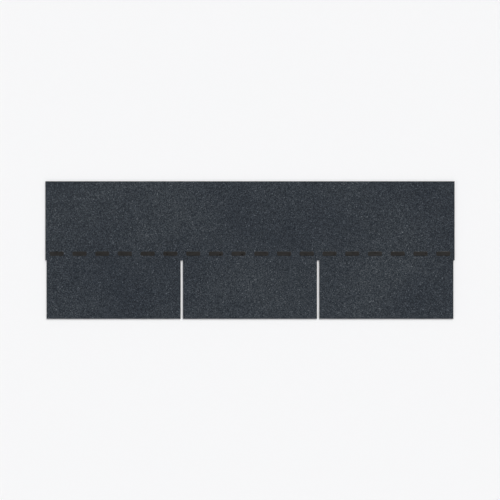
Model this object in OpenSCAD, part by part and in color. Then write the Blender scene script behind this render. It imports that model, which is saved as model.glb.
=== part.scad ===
// Three-tab asphalt shingle: one full strip, lying flat on its back.
// X runs along the course, and +Y points from the butt edge to the top edge.
// +Z is up, out of the granule face. The origin is the middle of the back.

/* [Strip] */
// Length of the strip along the course
strip_length = 1000; // [750:10:1250]
// Height from the butt edge to the top edge
strip_height = 336; // [280:2:450]
// Thickness over the granules
strip_thickness = 3; // [2:0.1:6]

/* [Tabs] */
// Number of tabs
tab_count = 3; // [2:1:5]
// Height of the tabs, which is the exposure of a laid course
exposure = 143; // [100:1:180]
// Width of the cutout between two tabs; each end has half of one
cutout_width = 6; // [4:0.5:12]
// Radius in the upper corners of a cutout
cutout_corner = 1.25; // [0.25:0.25:1.5]

/* [Seal dabs] */
// Length of a dab along the strip
dab_length = 36; // [20:1:60]
// Least gap between two dabs, which sets how many fit above a tab
dab_gap = 18; // [10:1:30]
// Height of a dab across the strip
dab_height = 12; // [8:0.5:18]
// Thickness of a dab above the granules
dab_thickness = 0.7; // [0.4:0.1:1.5]
// Corner radius of a dab
dab_corner = 3.5; // [1:0.5:3.5]
// Distance from the top of the cutouts up to the dabs
dab_rise = 10; // [4:1:20]

/* [Release tape] */
// Distance from the top of the cutouts up to the film
tape_rise = 2; // [1:0.5:4]
// Width of the film past the upper edge of the dabs
tape_margin = 8; // [4:1:15]
// Thickness of the film, which lies flush with the back
tape_thickness = 0.1; // [0.05:0.05:0.3]

/* [Hidden] */

// How far a cutting tool reaches past the face that it cuts
past = 1;
// Sides of a round corner
round_sides = 48;

tab_pitch = strip_length / tab_count;
dabs_per_tab = floor(tab_pitch / (dab_length + dab_gap));
dab_pitch = tab_pitch / dabs_per_tab;

left_end = -strip_length / 2;
butt_edge = -strip_height / 2;
cutout_top = butt_edge + exposure;
dab_low = cutout_top + dab_rise;
tape_low = cutout_top + tape_rise;
tape_width = dab_low + dab_height + tape_margin - tape_low;

// A rectangle drawn from its lower left corner, with all four corners rounded
module rounded_rectangle(length, height, radius) {
    translate([radius, 0])
        square([length - 2 * radius, height]);
    translate([0, radius])
        square([length, height - 2 * radius]);
    for (x = [radius, length - radius], y = [radius, height - radius])
        translate([x, y])
            circle(r = radius, $fn = round_sides);
}

// The opening between two tabs, centred on x = 0, with its upper corners rounded
module cutout_outline() {
    straight = exposure + past - cutout_corner;
    translate([-cutout_width / 2, butt_edge - past]) {
        square([cutout_width, straight]);
        translate([0, cutout_corner])
            rounded_rectangle(cutout_width, straight, cutout_corner);
    }
}

// The outline of the strip: a full rectangle less its cutouts.
// The first and last cutouts are centred on the ends, so half of each is cut here.
module strip_outline() {
    difference() {
        translate([left_end, butt_edge])
            square([strip_length, strip_height]);
        for (i = [0 : tab_count])
            translate([left_end + i * tab_pitch, 0])
                cutout_outline();
    }
}

// Asphalt-coated mat with its granules, made as one web and cut as one piece.
// The back has a shallow seat for the release film.
module shingle_strip() {
    color("#3c4249")
        difference() {
            linear_extrude(strip_thickness)
                strip_outline();
            translate([left_end - past, tape_low, -past])
                cube([strip_length + 2 * past, tape_width, past + tape_thickness]);
        }
}

// Adhesive dabs on the granule face, in equal steps along the strip
module seal_dabs() {
    color("#121212")
        for (i = [0 : tab_count * dabs_per_tab - 1])
            translate([left_end + (i + 0.5) * dab_pitch - dab_length / 2, dab_low, strip_thickness])
                linear_extrude(dab_thickness)
                    rounded_rectangle(dab_length, dab_height, dab_corner);
}

// Release film from end to end of the back, flush in its seat
module release_tape() {
    color("#c9ccd0")
        translate([left_end, tape_low, 0])
            cube([strip_length, tape_width, tape_thickness]);
}

shingle_strip();
seal_dabs();
release_tape();
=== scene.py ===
# %% [markdown]
# # A three-tab roofing shingle, one strip
#
# A strip shingle is a sheet of glass mat, soaked and coated in asphalt, with crushed and coloured
# rock rolled into its upper face. Narrow cutouts divide its lower part into tabs, so that a laid
# course looks like a row of slates. The CAD model already holds the sheet, its cutouts, the
# adhesive dabs and the film on the back, at their real size. This notebook adds what a hand lens
# shows: the granules, the tar-black dabs, the cut edge of the mat and the sanded back.
#
# Everything is in metres. X runs along the course, Y up the roof, and Z out of the granules.

import bpy
import numpy as np
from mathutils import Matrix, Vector
from mathutils.geometry import delaunay_2d_cdt


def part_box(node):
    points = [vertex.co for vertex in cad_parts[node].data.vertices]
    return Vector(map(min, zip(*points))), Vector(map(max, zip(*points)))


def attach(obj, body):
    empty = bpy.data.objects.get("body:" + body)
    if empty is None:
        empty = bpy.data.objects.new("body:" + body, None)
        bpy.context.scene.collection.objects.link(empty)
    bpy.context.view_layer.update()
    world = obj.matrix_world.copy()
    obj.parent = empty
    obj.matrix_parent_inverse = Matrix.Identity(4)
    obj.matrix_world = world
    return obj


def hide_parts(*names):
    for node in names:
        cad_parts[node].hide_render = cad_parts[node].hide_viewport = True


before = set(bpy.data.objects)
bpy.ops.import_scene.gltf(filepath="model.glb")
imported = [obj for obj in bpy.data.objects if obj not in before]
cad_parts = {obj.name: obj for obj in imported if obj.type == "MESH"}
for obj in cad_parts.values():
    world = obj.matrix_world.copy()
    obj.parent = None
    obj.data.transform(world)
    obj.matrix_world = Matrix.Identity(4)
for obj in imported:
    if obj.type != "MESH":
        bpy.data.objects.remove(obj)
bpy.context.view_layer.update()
MM = 0.001

# %% [markdown]
# ## Where the tabs end
#
# The granules have to stop exactly at the cut edges. The tab widths could be typed in again here,
# but they are already in the CAD strip's mesh, so they are read from it. On the butt edge the only
# corners are the ends of the tabs. Away from the strip's two ends, the highest corners below the
# top edge are the tops of the cutouts. A mesh holds its corners as rounded numbers, so "on the
# edge" means within a small slack of it.

# %% Read the tabs and cutouts from the CAD strip
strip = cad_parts["shingle_strip"]
strip_low, strip_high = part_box("shingle_strip")
LEFT_END, BUTT_EDGE, BACK = strip_low
RIGHT_END, TOP_EDGE, BED = strip_high

SLACK = 0.1 * MM
AWAY_FROM_ENDS = 0.9 * RIGHT_END

corners = np.array([v.co for v in strip.data.vertices])
on_butt = corners[corners[:, 1] < BUTT_EDGE + SLACK]
TAB_ENDS = np.unique(np.round(on_butt[:, 0], 6))
inner = corners[(np.abs(corners[:, 0]) < AWAY_FROM_ENDS) & (corners[:, 1] < TOP_EDGE - SLACK)]
CUTOUT_TOP = inner[:, 1].max()
print("tab ends in mm:", np.round(TAB_ENDS / MM, 1), "cutouts end at", round(CUTOUT_TOP / MM, 1))

# %% [markdown]
# ## The camera
#
# The strip lies flat, so the camera looks straight down on it. A long lens from well above keeps
# the tabs square. The width of floor in the picture is a share of the strip's length, and the
# distance follows from the lens: distance = width x focal length / sensor width.

# %% Make the camera
SHARE_OF_LENGTH = 1.222
PICTURE_WIDTH = SHARE_OF_LENGTH * (RIGHT_END - LEFT_END)
camera_data = bpy.data.cameras.new("camera_above")
camera_data.lens = 85
camera_data.sensor_width = 36
camera = bpy.data.objects.new("camera_above", camera_data)
camera.location = (0, 0, BED + PICTURE_WIDTH * camera_data.lens / camera_data.sensor_width)
bpy.context.scene.collection.objects.link(camera)
bpy.context.scene.camera = camera
bpy.context.scene.view_settings.view_transform = "Standard"
print("camera height in m:", round(camera.location.z, 3))

# %% [markdown]
# ## Material helpers
#
# A Blender material is a graph of nodes. Four helpers keep the cells that follow short: one starts
# a material, one adds a node with its values, one adds a colour ramp, and one adds a bump.


# %% Node helpers
def new_material(name):
    """An empty material, with its node tree and its surface shader."""
    material = bpy.data.materials.new(name)
    material.use_nodes = True
    return material, material.node_tree, material.node_tree.nodes["Principled BSDF"]


def add_node(tree, kind, values=None, **settings):
    """A node of this kind, with settings on the node and values on its sockets."""
    node = tree.nodes.new("ShaderNode" + kind)
    for name, value in settings.items():
        setattr(node, name, value)
    for name, value in (values or {}).items():
        node.inputs[name].default_value = value
    return node


def add_ramp(tree, source, stops):
    """A colour ramp fed by source. stops is a list of (place, linear colour)."""
    ramp = add_node(tree, "ValToRGB")
    elements = ramp.color_ramp.elements
    while len(elements) < len(stops):
        elements.new(0.5)
    for element, (place, colour) in zip(elements, stops):
        element.position = place
        element.color = (*colour, 1)
    tree.links.new(source, ramp.inputs["Fac"])
    return ramp.outputs["Color"]


def add_bump(tree, shader, height, strength, distance):
    """Feeds height to the shader's normal through a bump node. distance is in metres."""
    bump = add_node(tree, "Bump", {"Strength": strength, "Distance": distance})
    tree.links.new(height, bump.inputs["Height"])
    tree.links.new(bump.outputs["Normal"], shader.inputs["Normal"])


print("material helpers ready")

# %% [markdown]
# ## Floor and light
#
# A pale matt floor stands for the studio. The light is soft: one wide key from the upper right,
# a weak fill from the other side, and a surround that is bright near the horizon and darker
# overhead. A sun lamp with a large angle is used in place of an area lamp, because its light is
# equally strong all over the floor, so the floor stays even in every view.

# %% Lay the floor
FLOOR_HALF = 30
FLOOR_GAP = 0.02 * MM

floor_mesh = bpy.data.meshes.new("floor")
floor_mesh.from_pydata(
    [(x * FLOOR_HALF, y * FLOOR_HALF, 0) for x, y in ((-1, -1), (1, -1), (1, 1), (-1, 1))],
    [],
    [(0, 1, 2, 3)],
)
floor = bpy.data.objects.new("floor", floor_mesh)
floor.location.z = BACK - FLOOR_GAP
bpy.context.scene.collection.objects.link(floor)

floor_finish, _, shader = new_material("floor_paint")
shader.inputs["Base Color"].default_value = (0.90, 0.90, 0.90, 1)
shader.inputs["Roughness"].default_value = 0.9
shader.inputs["Specular IOR Level"].default_value = 0.1
floor_mesh.materials.append(floor_finish)
print("the floor is", 2 * FLOOR_HALF, "m wide and lies", FLOOR_GAP / MM, "mm under the strip")


# %% Hang the lamps
def add_sun(name, strength, angle, direction):
    """A sun lamp whose light comes from this direction. A wide angle, in degrees, is soft."""
    lamp = bpy.data.lights.new(name, "SUN")
    lamp.energy = strength
    lamp.angle = np.radians(angle)
    holder = bpy.data.objects.new(name, lamp)
    holder.rotation_mode = "QUATERNION"
    holder.rotation_quaternion = Vector(direction).to_track_quat("Z", "Y")
    bpy.context.scene.collection.objects.link(holder)
    print(name, "has strength", strength, "and is", angle, "degrees wide")


add_sun("key_light", strength=2.42, angle=35, direction=(0.45, 0.75, 1.0))
add_sun("fill_light", strength=0.63, angle=60, direction=(-0.9, -0.5, 1.1))

# %% Paint the surround
world = bpy.data.worlds.new("studio")
bpy.context.scene.world = world
world.use_nodes = True
tree = world.node_tree
direction = add_node(tree, "TexCoord")
upward = add_node(tree, "SeparateXYZ")
tree.links.new(direction.outputs["Generated"], upward.inputs["Vector"])
HORIZON, OVERHEAD = (0.86, 0.87, 0.88), (0.2, 0.2, 0.21)
surround = add_ramp(tree, upward.outputs["Z"], [(0.02, HORIZON), (0.7, OVERHEAD)])
tree.links.new(surround, tree.nodes["Background"].inputs["Color"])
print("the surround goes from", HORIZON, "to", OVERHEAD)

# %% [markdown]
# ## The granules
#
# Roofing granules are crushed rock, about 1 to 2 mm across, coated in coloured ceramic and rolled
# into the hot asphalt until they nearly touch. A strip this size carries some 150 000 of them.
# Instances of modelled stones would need many millions of triangles, and a bump map alone looks
# flat as soon as the eye comes close. So the whole face is one fine mesh in which every stone is
# a low, many-sided pyramid of its own, with a valley all round it.
#
# The recipe has three steps: scatter the middles of the stones, join them into a Delaunay
# triangulation, and put one low point inside each triangle. Those low points, joined round a
# middle, are that stone's edge.
#
# The first thing needed is the outline of the granule face, which is the edge of the CAD strip's
# upper side: the edges that only one upper triangle uses.

# %% Take the outline from the CAD strip
rng = np.random.default_rng(41)


def used_once(edges):
    """The rows of an array of edges that appear once, whichever way round."""
    ordered = np.sort(edges, axis=1)
    _, index, count = np.unique(ordered, axis=0, return_index=True, return_counts=True)
    return edges[index[count == 1]]


def corner_key(number):
    """A corner's place in whole hundredths of a millimetre, to tell corners apart."""
    return tuple(np.round(corners[number, :2] / MM, 2))


upper_faces = [list(p.vertices) for p in strip.data.polygons if p.normal.z > 0.9]
upper_faces = [f for f in upper_faces if min(corners[f, 2]) > BED - SLACK]
face_edges = np.array([(f[k - 1], f[k]) for f in upper_faces for k in range(len(f))])
outline = used_once(face_edges)
following = {corner_key(start): end for start, end in outline}
loop = [outline[0][0]]
while len(loop) < len(outline):
    loop.append(following[corner_key(loop[-1])])
print(len(loop), "corners round the granule face")

# %% [markdown]
# The rounded cutout corners are drawn with many short edges. A stone is wider than those, so
# corners that follow closely are dropped. Each edge that is left is cut into short steps, with the
# cuts slid a little along it, so that the stones on the outline differ in width as broken ones do.

# %% Cut the outline into steps
EDGE_STEP = 0.9 * MM
EDGE_SLIDE = 0.25
CLOSEST = 0.6 * MM

kept = [corners[loop[0], :2]]
for number in loop[1:]:
    if np.hypot(*(corners[number, :2] - kept[-1])) > CLOSEST:
        kept.append(corners[number, :2])

outline_points = []
for edge_start, edge_end in zip(kept, kept[1:] + kept[:1]):
    steps = max(1, round(float(np.hypot(*(edge_end - edge_start))) / EDGE_STEP))
    share = np.arange(steps) / steps
    share[1:] += rng.uniform(-EDGE_SLIDE, EDGE_SLIDE, steps - 1) / steps
    outline_points.append(edge_start + share[:, None] * (edge_end - edge_start))
outline_xy = np.concatenate(outline_points)
outline_steps = [(k, (k + 1) % len(outline_xy)) for k in range(len(outline_xy))]
print(len(outline_xy), "points on the outline")

# %% [markdown]
# The stones' middles start on a staggered grid and are then shaken, which keeps them evenly
# spread but hides the grid. A tenth of them are left out, so their neighbours grow into the gaps
# and the sizes differ as sieved rock does. They keep a little way in from the outline.

# %% Scatter the stones
STONE = 1.46 * MM
SHAKE = 0.36 * STONE
LEFT_OUT = 0.1
EDGE_GAP = 0.55 * MM

row_y = np.arange(BUTT_EDGE, TOP_EDGE, STONE)
column_x = np.arange(LEFT_END, RIGHT_END, STONE)
grid_x, grid_y = np.meshgrid(column_x, row_y)
grid_x[::2] += STONE / 2
middles = np.stack([grid_x.ravel(), grid_y.ravel()], 1)
middles += rng.uniform(-SHAKE, SHAKE, middles.shape)

x, y = middles.T
in_a_tab = np.zeros(len(x), bool)
for tab_left, tab_right in zip(TAB_ENDS[::2], TAB_ENDS[1::2]):
    in_a_tab |= (x > tab_left + EDGE_GAP) & (x < tab_right - EDGE_GAP)
inside = (x > LEFT_END + EDGE_GAP) & (x < RIGHT_END - EDGE_GAP)
inside &= (y > BUTT_EDGE + EDGE_GAP) & (y < TOP_EDGE - EDGE_GAP)
inside &= in_a_tab | (y > CUTOUT_TOP + EDGE_GAP)
inside &= rng.uniform(0, 1, len(x)) > LEFT_OUT
middles = middles[inside]
print(len(middles), "whole stones")

# %% [markdown]
# Blender has a Delaunay routine of its own, in mathutils. It takes the outline's steps as fixed
# edges, and it returns only the triangles that lie inside them, so the cutouts stay open. It works
# in millimetres here, which suits its tolerances.

# %% Join the middles into triangles
stone_xy = np.concatenate([outline_xy, middles])
flat_points = [Vector(p) for p in (stone_xy / MM).tolist()]
INSIDE_ONLY = 1
SAME_POINT = 1e-6
found = delaunay_2d_cdt(flat_points, outline_steps, [], INSIDE_ONLY, SAME_POINT)
triangles = np.array(found[2])
stone_xy = np.array(found[0]) * MM
stones = len(stone_xy)
on_outline = np.zeros(stones, bool)
on_outline[: len(outline_xy)] = True
print(len(triangles), "triangles between", stones, "stones")

# %% [markdown]
# Now the low points. One in the very middle of each triangle would make all stones alike, so each
# stone gets a size, and a low point moves away from the bigger of its three stones.
#
# The rollers press the stones to nearly one level, so their tops differ by a tenth of a
# millimetre or so. Their highest point is off their middle, which tilts their faces. A stone on
# the outline was cut through by the knife: its highest point lies on the cut itself, and halfway
# to the next one the cut has a low point of its own.

# %% Place the stones' tops and edges
TOP_HEIGHT, TOP_SPREAD = 0.38 * MM, 0.10 * MM
EDGE_HEIGHT, EDGE_SPREAD = 0.11 * MM, 0.07 * MM
CUT_TOP, CUT_LOW, CUT_SPREAD = 0.30 * MM, 0.18 * MM, 0.05 * MM
LOWEST, HIGHEST = 0.02 * MM, 0.65 * MM
TOP_SHIFT = 0.28 * MM
SMALL_STONE, BIG_STONE = 0.75, 1.25


def heights(middle, spread, count):
    """Random heights above the asphalt."""
    return np.clip(rng.normal(middle, spread, count), LOWEST, HIGHEST)


stone_size = rng.uniform(SMALL_STONE, BIG_STONE, stones)
pull = 1 / stone_size[triangles]
pull /= pull.sum(axis=1, keepdims=True)
low_xy = (stone_xy[triangles] * pull[:, :, None]).sum(axis=1)
top_xy = stone_xy + rng.uniform(-TOP_SHIFT, TOP_SHIFT, (stones, 2)) * ~on_outline[:, None]
print("the stones' tops and", len(low_xy), "low points are in place")

# %% [markdown]
# ## From points to faces
#
# Where two triangles share an edge, the edge joins two stones, and the two low points beside it
# make one facet of each stone. On the outline there is only one triangle. There the cut's own low
# point takes the place of the missing one.

# %% Make the facets
start = triangles.ravel()
end = np.roll(triangles, -1, axis=1).ravel()
home = stones + np.repeat(np.arange(len(triangles)), 3)
order = np.lexsort((np.maximum(start, end), np.minimum(start, end)))
start, end, home = start[order], end[order], home[order]
paired = np.flatnonzero((start[:-1] == end[1:]) & (end[:-1] == start[1:]))
alone = np.setdiff1d(np.arange(len(start)), [paired, paired + 1])

cut_xy = (stone_xy[start[alone]] + stone_xy[end[alone]]) / 2
cut_low = stones + len(low_xy) + np.arange(len(alone))
facets = np.concatenate(
    [
        np.stack([start[paired], home[paired + 1], home[paired]], 1),
        np.stack([end[paired], home[paired], home[paired + 1]], 1),
        np.stack([start[alone], cut_low, home[alone]], 1),
        np.stack([end[alone], home[alone], cut_low], 1),
    ]
)
facet_stone = facets[:, 0]

height = np.concatenate(
    [
        heights(CUT_TOP, CUT_SPREAD, len(outline_xy)),
        heights(TOP_HEIGHT, TOP_SPREAD, stones - len(outline_xy)),
        heights(EDGE_HEIGHT, EDGE_SPREAD, len(low_xy)),
        heights(CUT_LOW, CUT_SPREAD, len(cut_xy)),
    ]
)
print(len(facets), "facets,", round(len(facets) / stones, 2), "for each stone")

# %% [markdown]
# A top that sits too far off its stone's middle passes over the stone's own edge, and folds a
# facet under. Seen from above, such a facet's corners run clockwise, which makes its area come out
# negative. Every stone that has one gets its shift halved, a few times over. The last few have an
# odd outline to begin with, so their tops go to the middle of their own low points.

# %% Unfold the folded facets
ROUNDS = 6
plan_xy = np.concatenate([top_xy, low_xy, cut_xy])


def folded_facets():
    """The facets whose corners run clockwise, seen from above."""
    first, second, third = (plan_xy[facets[:, corner]].T for corner in range(3))
    (ax, ay), (bx, by) = second - first, third - first
    return np.flatnonzero(ax * by - ay * bx <= 0)


print(len(folded_facets()), "facets are folded at first")
for _ in range(ROUNDS):
    too_far = np.unique(facet_stone[folded_facets()])
    plan_xy[too_far] = (plan_xy[too_far] + stone_xy[too_far]) / 2
print(len(folded_facets()), "are left after the tops moved back")

for odd in np.setdiff1d(facet_stone[folded_facets()], np.flatnonzero(on_outline)):
    own_low = facets[facet_stone == odd, 1:].ravel()
    plan_xy[odd] = plan_xy[own_low].mean(axis=0)
print(len(folded_facets()), "are left after the odd tops moved")
points = np.column_stack([plan_xy, BED + height])

# %% [markdown]
# A mesh of nearly a million triangles is hard to handle, so the face is shared out over six long
# bands by the place of each stone. The border between two bands then runs in the valleys between
# stones, where it can't be seen. Each band is a solid skin, and not a loose surface: a low wall
# goes down from its border to the asphalt, and a flat sheet closes it below. The same Delaunay
# routine makes that sheet.
#
# Each facet carries two numbers that the material reads: a random tone and a random tint, the
# same on all facets of one stone. Each point carries a third, its depth: 0 on a stone's top, and
# up to 1 in the deepest joint, so that the material can darken the joints, partly for the asphalt
# there and partly as painted shade in the valleys.

# %% Helpers that build one band
BAND_NAMES = [
    "granules_butt",
    "granules_tab_middle",
    "granules_cutout_top",
    "granules_nail_line",
    "granules_headlap",
    "granules_top_edge",
]
band_lines = np.linspace(BUTT_EDGE, TOP_EDGE, len(BAND_NAMES) + 1)
stone_band = np.clip(np.searchsorted(band_lines, stone_xy[:, 1]) - 1, 0, len(BAND_NAMES) - 1)
stone_tone = rng.uniform(0, 1, stones)
stone_tint = rng.uniform(0, 1, stones)
depth = np.where(np.arange(len(points)) < stones, 0, 1 - height / HIGHEST)
granule_finish, granule_tree, granule_shader = new_material("granule_coating")
bed_finish, _, bed_shader = new_material("asphalt_under_granules")


def close_below(places, faces):
    """The points below the border of these faces, and the faces of the wall and flat sheet."""
    sides = np.concatenate([faces[:, [0, 1]], faces[:, [1, 2]], faces[:, [2, 0]]])
    border = used_once(sides)
    numbers = np.unique(border)
    feet = places[numbers] * (1, 1, 0) + (0, 0, BED)
    foot = len(places) + np.searchsorted(numbers, border)
    steps = (foot - len(places)).tolist()
    flat_feet = [Vector(p) for p in (feet[:, :2] / MM).tolist()]
    found = delaunay_2d_cdt(flat_feet, steps, [], INSIDE_ONLY, SAME_POINT)
    wall = [
        np.stack([border[:, 1], border[:, 0], foot[:, 0]], 1),
        np.stack([border[:, 1], foot[:, 0], foot[:, 1]], 1),
    ]
    sheet = len(places) + np.array(found[2])[:, ::-1]
    return feet, np.concatenate([*wall, sheet])


def store(mesh, label, domain, values):
    """Stores one number on each face or point. The ones that values leaves out get 0."""
    attribute = mesh.attributes.new(label, "FLOAT", domain)
    filled = np.zeros(len(attribute.data))
    filled[: len(values)] = values
    attribute.data.foreach_set("value", filled)


def build_band(name, chosen):
    """One closed band of granules, from the facets chosen for it."""
    kept = np.unique(facets[chosen])
    upper = np.searchsorted(kept, facets[chosen])
    feet, lower = close_below(points[kept], upper)
    mesh = bpy.data.meshes.new(name)
    places = np.concatenate([points[kept], feet])
    mesh.from_pydata(places.tolist(), [], upper.tolist() + lower.tolist())
    store(mesh, "stone_tone", "FACE", stone_tone[facet_stone[chosen]])
    store(mesh, "stone_tint", "FACE", stone_tint[facet_stone[chosen]])
    store(mesh, "depth", "POINT", depth[kept])
    mesh.materials.append(granule_finish)
    mesh.materials.append(bed_finish)
    mesh.polygons.foreach_set("material_index", np.repeat([0, 1], [len(upper), len(lower)]))
    return mesh


print("stones in each band:", np.bincount(stone_band))

# %% [markdown]
# The bands also carry a flat map, named OFBake, for anyone who bakes the materials into pictures.
# A long thin band would waste most of a square picture, so it is cut into four lengths, which are
# laid above each other with a margin round each. The wall and the flat sheet need no place on it,
# because their finish is plain.

# %% A band's flat map
MAP_LENGTHS = 4
MAP_MARGIN = 2 * MM


def lay_map(mesh, owner_x, low_y, high_y):
    """Maps a band from above. owner_x is where the stone of each granule facet is."""
    lines = np.linspace(LEFT_END, RIGHT_END, MAP_LENGTHS + 1)
    length = np.clip(np.searchsorted(lines, owner_x) - 1, 0, MAP_LENGTHS - 1)
    length = np.repeat(length, 3)
    places = np.zeros(len(mesh.vertices) * 3)
    mesh.vertices.foreach_get("co", places)
    vertex = np.zeros(len(mesh.loops), int)
    mesh.loops.foreach_get("vertex_index", vertex)
    x, y = places.reshape(-1, 3)[vertex[: len(length)], :2].T
    width = lines[1] - lines[0] + 2 * MAP_MARGIN
    height = high_y - low_y + 2 * MAP_MARGIN
    on_map = np.zeros((len(mesh.loops), 2))
    on_map[: len(length), 0] = (x - lines[length] + MAP_MARGIN) / width
    on_map[: len(length), 1] = (length + (y - low_y + MAP_MARGIN) / height) / MAP_LENGTHS
    mesh.uv_layers.new(name="OFBake").uv.foreach_set("vector", on_map.ravel())


print("a map holds", MAP_LENGTHS, "lengths of", round((RIGHT_END - LEFT_END) / MAP_LENGTHS / MM), "mm")

# %% Build the six bands
for index, name in enumerate(BAND_NAMES):
    chosen = stone_band[facet_stone] == index
    mesh = build_band(name, chosen)
    lay_map(mesh, stone_xy[facet_stone[chosen], 0], band_lines[index], band_lines[index + 1])
    band = bpy.data.objects.new(name, mesh)
    bpy.context.scene.collection.objects.link(band)
    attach(band, "root")
    print(name, "has", len(mesh.polygons), "triangles")

# %% [markdown]
# ## The granule finish
#
# The colour is a blend. Most stones are slate blue or charcoal, some are lighter, and a few pale
# ones sparkle. A ramp turns each stone's tone into its colour, so the blend is set by the places
# of the ramp's stops. A large, faint noise makes some areas a little lighter and greyer, as the
# blend drifts along a real sheet. The joints are darkened, partly for the asphalt that shows
# there and partly as painted shade in the valleys between the stones.

# %% Colour the granules
tone = add_node(granule_tree, "Attribute", attribute_name="stone_tone")
stone_colour = add_ramp(
    granule_tree,
    tone.outputs["Fac"],
    [
        (0.0, (0.007, 0.0125, 0.0205)),
        (0.35, (0.0195, 0.0270, 0.0365)),
        (0.72, (0.0405, 0.0500, 0.0625)),
        (0.97, (0.070, 0.0825, 0.0980)),
        (1.0, (0.155, 0.1770, 0.2020)),
    ],
)
place = add_node(granule_tree, "TexCoord")
drift = add_node(granule_tree, "TexNoise", {"Scale": 4.5, "Detail": 1.5})
granule_tree.links.new(place.outputs["Object"], drift.inputs["Vector"])
drift_colour = add_ramp(
    granule_tree,
    drift.outputs["Fac"],
    [(0.3, (0.73, 0.765, 0.82)), (0.7, (1.23, 1.20, 1.145))],
)
drifted = add_node(granule_tree, "Mix", {"Factor": 1.0}, data_type="RGBA", blend_type="MULTIPLY")
granule_tree.links.new(stone_colour, drifted.inputs["A"])
granule_tree.links.new(drift_colour, drifted.inputs["B"])

# Painted shade in part: the stone colour darkens with depth into the joints. This stands for the
# asphalt there and for the shade in the valleys.
depth_read = add_node(granule_tree, "Attribute", attribute_name="depth")
joint_asphalt_and_shade = add_ramp(
    granule_tree,
    depth_read.outputs["Fac"],
    [(0.55, (1.0, 1.0, 1.0)), (0.9, (0.2, 0.2, 0.2))],
)
with_joints_and_shade = add_node(granule_tree, "Mix", {"Factor": 1.0}, data_type="RGBA", blend_type="MULTIPLY")
granule_tree.links.new(drifted.outputs["Result"], with_joints_and_shade.inputs["A"])
granule_tree.links.new(joint_asphalt_and_shade, with_joints_and_shade.inputs["B"])
granule_tree.links.new(with_joints_and_shade.outputs["Result"], granule_shader.inputs["Base Color"])
print("granule colours use", len(granule_tree.nodes), "nodes")

# %% [markdown]
# The surface has two scales of bump: the side of each stone, which drops steeply into the joint,
# and the rough break of the rock, which counts double. Each stone also has its own roughness, so a
# few catch the light.

# %% Roughen the granules
side_drop = add_ramp(
    granule_tree,
    depth_read.outputs["Fac"],
    [(0.52, (1.0, 1.0, 1.0)), (0.78, (0.0, 0.0, 0.0))],
)
break_noise = add_node(granule_tree, "TexNoise", {"Scale": 1500.0, "Detail": 4.0})
granule_tree.links.new(place.outputs["Object"], break_noise.inputs["Vector"])
BREAK_SHARE = 2.0
relief = add_node(granule_tree, "Math", operation="MULTIPLY_ADD")
relief.inputs[1].default_value = BREAK_SHARE
granule_tree.links.new(break_noise.outputs["Fac"], relief.inputs[0])
granule_tree.links.new(side_drop, relief.inputs[2])
add_bump(granule_tree, granule_shader, relief.outputs["Value"], strength=0.7, distance=0.14 * MM)

tint = add_node(granule_tree, "Attribute", attribute_name="stone_tint")
gloss = add_node(
    granule_tree, "MapRange", {"From Min": 0.0, "From Max": 1.0, "To Min": 0.5, "To Max": 0.95}
)
granule_tree.links.new(tint.outputs["Fac"], gloss.inputs["Value"])
granule_tree.links.new(gloss.outputs["Result"], granule_shader.inputs["Roughness"])
granule_shader.inputs["Specular IOR Level"].default_value = 0.3

bed_shader.inputs["Base Color"].default_value = (0.008, 0.008, 0.009, 1)
bed_shader.inputs["Roughness"].default_value = 0.6
print("granule material has", len(granule_tree.nodes), "nodes")

# %% [markdown]
# ## The sheet's cut edge and back
#
# The CAD strip keeps its mesh and gets one better material. What it should look like depends on
# which way a face looks: the cut edge shows the layers that the knife went through, and the back
# shows the fine sand that keeps stacked sheets from sticking. Both are built in one graph, and the
# surface normal's Z chooses between them: 0 on the edge and -1 on the back.
#
# On the edge, height chooses the layer: asphalt filled with stone dust below and above, and the
# paler glass mat between them, a little under the middle. A fine noise is added to the height, so
# that the layers have frayed borders.

# %% Finish the cut edge
MAT_LOW, MAT_HIGH = 1.05 * MM, 1.4 * MM
FRAY = 0.5 * MM
sheet_finish, tree, shader = new_material("sheet_and_sanded_back")
place = add_node(tree, "TexCoord")

fray = add_node(tree, "TexNoise", {"Scale": 2200.0, "Detail": 4.0})
tree.links.new(place.outputs["Object"], fray.inputs["Vector"])
position = add_node(tree, "SeparateXYZ")
tree.links.new(place.outputs["Object"], position.inputs["Vector"])
frayed_height = add_node(tree, "Math", operation="MULTIPLY_ADD")
frayed_height.inputs[1].default_value = FRAY
tree.links.new(fray.outputs["Fac"], frayed_height.inputs[0])
tree.links.new(position.outputs["Z"], frayed_height.inputs[2])
layer = add_node(tree, "MapRange", {"From Min": BACK, "From Max": BED + FRAY})
tree.links.new(frayed_height.outputs["Value"], layer.inputs["Value"])


def layer_place(height):
    """Where a height, with the fray's average added, falls on the layer ramp."""
    return (height + FRAY / 2 - BACK) / (BED + FRAY - BACK)


edge_colour = add_ramp(
    tree,
    layer.outputs["Result"],
    [
        (0.0, (0.016, 0.016, 0.017)),
        (layer_place(MAT_LOW) - 0.03, (0.022, 0.022, 0.022)),
        (layer_place(MAT_LOW) + 0.02, (0.060, 0.054, 0.045)),
        (layer_place(MAT_HIGH) - 0.02, (0.050, 0.046, 0.040)),
        (layer_place(MAT_HIGH) + 0.03, (0.018, 0.018, 0.019)),
        (1.0, (0.014, 0.014, 0.015)),
    ],
)
print("mat line from", MAT_LOW / MM, "to", MAT_HIGH / MM, "mm above the back")

# %% [markdown]
# The sand on the back is finer than the granules, under half a millimetre, and thinly spread. A
# Voronoi texture gives one random value per grain, and a ramp turns it into a grey, from bare
# asphalt to a pale grain. A large noise makes some patches sandier than others.

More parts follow.
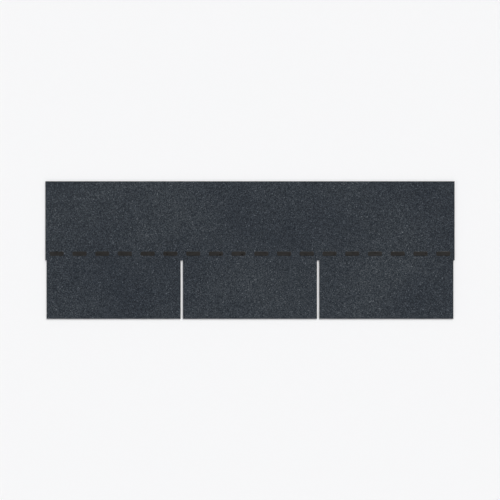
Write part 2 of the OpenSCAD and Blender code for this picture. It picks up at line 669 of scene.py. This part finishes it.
# %% Finish the sanded back
grain = add_node(tree, "TexVoronoi", {"Scale": 2600.0})
tree.links.new(place.outputs["Object"], grain.inputs["Vector"])
grain_value = add_node(tree, "SeparateColor")
tree.links.new(grain.outputs["Color"], grain_value.inputs["Color"])
patch = add_node(tree, "TexNoise", {"Scale": 35.0, "Detail": 3.0})
tree.links.new(place.outputs["Object"], patch.inputs["Vector"])
sandiness = add_node(tree, "Mix", {"Factor": 0.7})
tree.links.new(patch.outputs["Fac"], sandiness.inputs["A"])
tree.links.new(grain_value.outputs["Red"], sandiness.inputs["B"])
sand_colour = add_ramp(
    tree,
    sandiness.outputs["Result"],
    [
        (0.20, (0.014, 0.014, 0.015)),
        (0.55, (0.033, 0.032, 0.031)),
        (0.75, (0.058, 0.056, 0.053)),
        (0.90, (0.115, 0.110, 0.102)),
    ],
)

normal = add_node(tree, "NewGeometry")
facing = add_node(tree, "SeparateXYZ")
tree.links.new(normal.outputs["True Normal"], facing.inputs["Vector"])
edge_share = add_node(tree, "MapRange", {"From Min": -0.8, "From Max": -0.4})
tree.links.new(facing.outputs["Z"], edge_share.inputs["Value"])
chosen_colour = add_node(tree, "Mix", data_type="RGBA")
tree.links.new(edge_share.outputs["Result"], chosen_colour.inputs["Factor"])
tree.links.new(sand_colour, chosen_colour.inputs["A"])
tree.links.new(edge_colour, chosen_colour.inputs["B"])
tree.links.new(chosen_colour.outputs["Result"], shader.inputs["Base Color"])

grit = add_node(tree, "Math", operation="ADD")
tree.links.new(sandiness.outputs["Result"], grit.inputs[0])
tree.links.new(fray.outputs["Fac"], grit.inputs[1])
add_bump(tree, shader, grit.outputs["Value"], strength=0.5, distance=0.15 * MM)
sheet_gloss = add_node(tree, "MapRange", {"To Min": 0.6, "To Max": 0.95})
tree.links.new(fray.outputs["Fac"], sheet_gloss.inputs["Value"])
tree.links.new(sheet_gloss.outputs["Result"], shader.inputs["Roughness"])
shader.inputs["Specular IOR Level"].default_value = 0.3
strip.material_slots[0].material = sheet_finish
print("strip material has", len(tree.nodes), "nodes")

# %% [markdown]
# ## The adhesive dabs
#
# Above the cutouts lies a row of asphalt adhesive dabs. A wheel prints them hot, and the sun later
# melts them enough to seal the next course down. In CAD they are flat pads with sharp edges. Real
# ones are soft: the rim is round, the top sags a little, and the outline wanders. So each dab is
# built anew inside its CAD pad, as rings that climb the rim and then close over the top.
#
# Where the dabs start and end is read from the CAD pads, from the jumps in their sorted X values.
# A pad has points only near its ends, so its own straight side is one jump, and the gap that
# follows is the next. Every second jump is therefore a gap.

# %% Read the dabs from the CAD pads
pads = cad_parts["seal_dabs"]
pads_low, pads_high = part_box("seal_dabs")
JUMP = 5 * MM
pads_x = np.unique(np.round([v.co.x for v in pads.data.vertices], 6))
gaps = np.flatnonzero(np.diff(pads_x) > JUMP)[1::2]
dab_starts = pads_x[[0, *(gaps + 1)]]
dab_ends = pads_x[[*gaps, -1]]
print(len(dab_starts), "dabs, each", np.round((dab_ends - dab_starts)[0] / MM, 1), "mm long")

# %% [markdown]
# A ring is a rounded rectangle: a core with straight sides, grown outwards by the rim's width. So
# each point of a ring has a place on the core, from -1 to 1 across its length and its width, and
# a direction outwards. At a corner the direction turns and the place stays. Along a side the
# place moves and the direction stays.

# %% Lay out one ring
CORNER_STEPS, LONG_STEPS, SHORT_STEPS = 7, 14, 5
CORNERS = [(1, -1), (1, 1), (-1, 1), (-1, -1)]

core_place, outward = [], []
for turn, (here, there) in enumerate(zip(CORNERS, CORNERS[1:] + CORNERS[:1])):
    for angle in np.linspace(-90, 0, CORNER_STEPS) + 90 * turn:
        core_place.append(here)
        outward.append((np.cos(np.radians(angle)), np.sin(np.radians(angle))))
    for share in np.linspace(0, 1, (LONG_STEPS if turn % 2 else SHORT_STEPS) + 1)[1:-1]:
        core_place.append(np.add(here, share * np.subtract(there, here)))
        outward.append(outward[-1])
core_place, outward = np.array(core_place), np.array(outward)
AROUND = len(core_place)
print(AROUND, "points in a ring")

# %% [markdown]
# The rim climbs like a quarter of an ellipse. Inside it the rings shrink towards one point in the
# middle, and only close the top. The top's height doesn't come from the rings, which would leave
# creases along the diagonals, but from a smooth function of place: a shallow sag in the middle and
# a slow swell along the dab. The foot of the rim wanders in waves of three lengths, each with a
# random height and a random start, given as an angle in radians. The top's outline doesn't wander.

# %% Build one dab
RIM, ROUND, WANDER = 2.2 * MM, 1.3 * MM, 0.6 * MM
RIM_RINGS, TOP_RINGS = 8, 5
RINGS = RIM_RINGS + TOP_RINGS
SMALLEST_RING = 0.12
FULL, SAG, SWELL = 0.94, 0.16, 0.045
SWELL_LENGTH = 3.5 * MM
WAVES_ROUND = (2, 5, 9)
TALLEST_WAVE = 0.5
LATEST_START = 6


def build_dab(start, end):
    """The points of one dab: its rings from the foot up, the top's middle and the foot's middle."""
    middle = np.array([(start + end) / 2, (pads_low[1] + pads_high[1]) / 2])
    half = np.array([end - start, pads_high[1] - pads_low[1]]) / 2 - WANDER
    core = half - RIM - ROUND
    round_trip = np.arange(AROUND) * 2 * np.pi / AROUND
    wander = np.zeros(AROUND)
    for count in WAVES_ROUND:
        wave_height = rng.uniform(-TALLEST_WAVE, TALLEST_WAVE)
        wander += wave_height * np.sin(count * round_trip + rng.uniform(0, LATEST_START))
    wander = WANDER * np.clip(wander, -1, 1)[:, None]
    rings = []
    for climb in np.linspace(0, 1, RIM_RINGS):
        reach = ROUND + RIM * (1 - climb**2) + wander * (1 - climb)
        offset = core_place * core + outward * reach
        rings.append(np.column_stack([offset, np.full(AROUND, np.sqrt(climb * (2 - climb)))]))
    for shrink in np.linspace(1, SMALLEST_RING, TOP_RINGS + 1)[1:]:
        rings.append(np.column_stack([offset * shrink, np.ones(AROUND)]))
    rings.append([(0, 0, 1), (0, 0, 0)])
    dab = np.concatenate(rings)
    sag = SAG * np.prod(1 - np.clip(dab[:, :2] / (half - RIM), -1, 1) ** 2, axis=1) ** 2
    swell = SWELL * np.sin(dab[:, 0] / SWELL_LENGTH + rng.uniform(0, LATEST_START))
    dab[:, 2] *= (FULL - sag + swell) * (pads_high[2] - BED)
    return dab + (*middle, BED)


print("a dab has", len(build_dab(dab_starts[0], dab_ends[0])), "points")

# %% [markdown]
# All dabs have the same number of points, so the faces of one serve for the others, with the point
# numbers moved on. Each ring is joined to the next by quads, and a fan of triangles closes each
# end. One many-sided face would do there too, but its corners along the straight sides are in
# line, and a face like that splits into slivers with no area.

# %% Join the dabs into one piece
top_middle = RINGS * AROUND
foot_middle = top_middle + 1
last_ring = top_middle - AROUND

dab_faces = []
for step in range(AROUND):
    after = (step + 1) % AROUND
    for low in range(0, last_ring, AROUND):
        high = low + AROUND
        dab_faces.append((low + step, low + after, high + after, high + step))
    dab_faces.append((last_ring + step, last_ring + after, top_middle))
    dab_faces.append((after, step, foot_middle))

dab_points = []
all_faces = []
for start_x, end_x in zip(dab_starts, dab_ends):
    moved = len(dab_points)
    dab_points += build_dab(start_x, end_x).tolist()
    all_faces += [[number + moved for number in face] for face in dab_faces]

dab_mesh = bpy.data.meshes.new("seal_dabs_soft")
dab_mesh.from_pydata(dab_points, [], all_faces)
dab_mesh.shade_smooth()
dabs = bpy.data.objects.new("seal_dabs_soft", dab_mesh)
bpy.context.scene.collection.objects.link(dabs)
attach(dabs, "root")
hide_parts("seal_dabs")
print("dabs stand", round((max(p[2] for p in dab_points) - BED) / MM, 2), "mm above the asphalt")

# %% [markdown]
# Sealing asphalt is nearly black with a brown cast. It is glossy where it set against air, and
# duller where dust has stuck to it. A stretched noise gives the faint drag marks of the wheel.

# %% Finish the dabs
dab_finish, tree, shader = new_material("sealing_asphalt")
place = add_node(tree, "TexCoord")
stretch = add_node(tree, "Mapping", {"Scale": (0.35, 1.0, 1.0)})
tree.links.new(place.outputs["Object"], stretch.inputs["Vector"])
drag = add_node(tree, "TexNoise", {"Scale": 420.0, "Detail": 3.0})
tree.links.new(stretch.outputs["Vector"], drag.inputs["Vector"])
asphalt_colour = add_ramp(
    tree,
    drag.outputs["Fac"],
    [(0.3, (0.0065, 0.0060, 0.0055)), (0.7, (0.0140, 0.0125, 0.0110))],
)
tree.links.new(asphalt_colour, shader.inputs["Base Color"])
dust = add_node(tree, "TexNoise", {"Scale": 150.0, "Detail": 5.0})
tree.links.new(place.outputs["Object"], dust.inputs["Vector"])
dab_gloss = add_node(
    tree, "MapRange", {"From Min": 0.3, "From Max": 0.7, "To Min": 0.25, "To Max": 0.55}
)
tree.links.new(dust.outputs["Fac"], dab_gloss.inputs["Value"])
tree.links.new(dab_gloss.outputs["Result"], shader.inputs["Roughness"])
shader.inputs["Specular IOR Level"].default_value = 0.35
add_bump(tree, shader, drag.outputs["Fac"], strength=0.35, distance=0.25 * MM)
dab_mesh.materials.append(dab_finish)
print("dab material has", len(tree.nodes), "nodes")

# %% [markdown]
# ## The film on the back
#
# A strip of clear plastic film is stuck along the back, where the dabs of the sheet below would
# touch it in the stack. It lets the sheets come apart. Over black asphalt it reads as a smooth,
# shiny dark band, with fine wrinkles across it. The wrinkles are a noise drawn out along Y, and
# they are used as bump and, faintly, as colour, because creased film turns milky.

# %% Finish the film
film_finish, tree, shader = new_material("clear_film_on_asphalt")
place = add_node(tree, "TexCoord")
stretch = add_node(tree, "Mapping", {"Scale": (1.0, 0.25, 1.0)})
tree.links.new(place.outputs["Object"], stretch.inputs["Vector"])
wrinkle = add_node(tree, "TexNoise", {"Scale": 160.0, "Detail": 4.0, "Distortion": 0.6})
tree.links.new(stretch.outputs["Vector"], wrinkle.inputs["Vector"])
film_colour = add_ramp(
    tree,
    wrinkle.outputs["Fac"],
    [(0.45, (0.014, 0.014, 0.016)), (0.75, (0.045, 0.045, 0.049))],
)
tree.links.new(film_colour, shader.inputs["Base Color"])
film_gloss = add_node(tree, "MapRange", {"To Min": 0.08, "To Max": 0.3})
tree.links.new(wrinkle.outputs["Fac"], film_gloss.inputs["Value"])
tree.links.new(film_gloss.outputs["Result"], shader.inputs["Roughness"])
add_bump(tree, shader, wrinkle.outputs["Fac"], strength=0.3, distance=0.3 * MM)
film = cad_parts["release_tape"]
film.material_slots[0].material = film_finish
print("film material has", len(tree.nodes), "nodes")
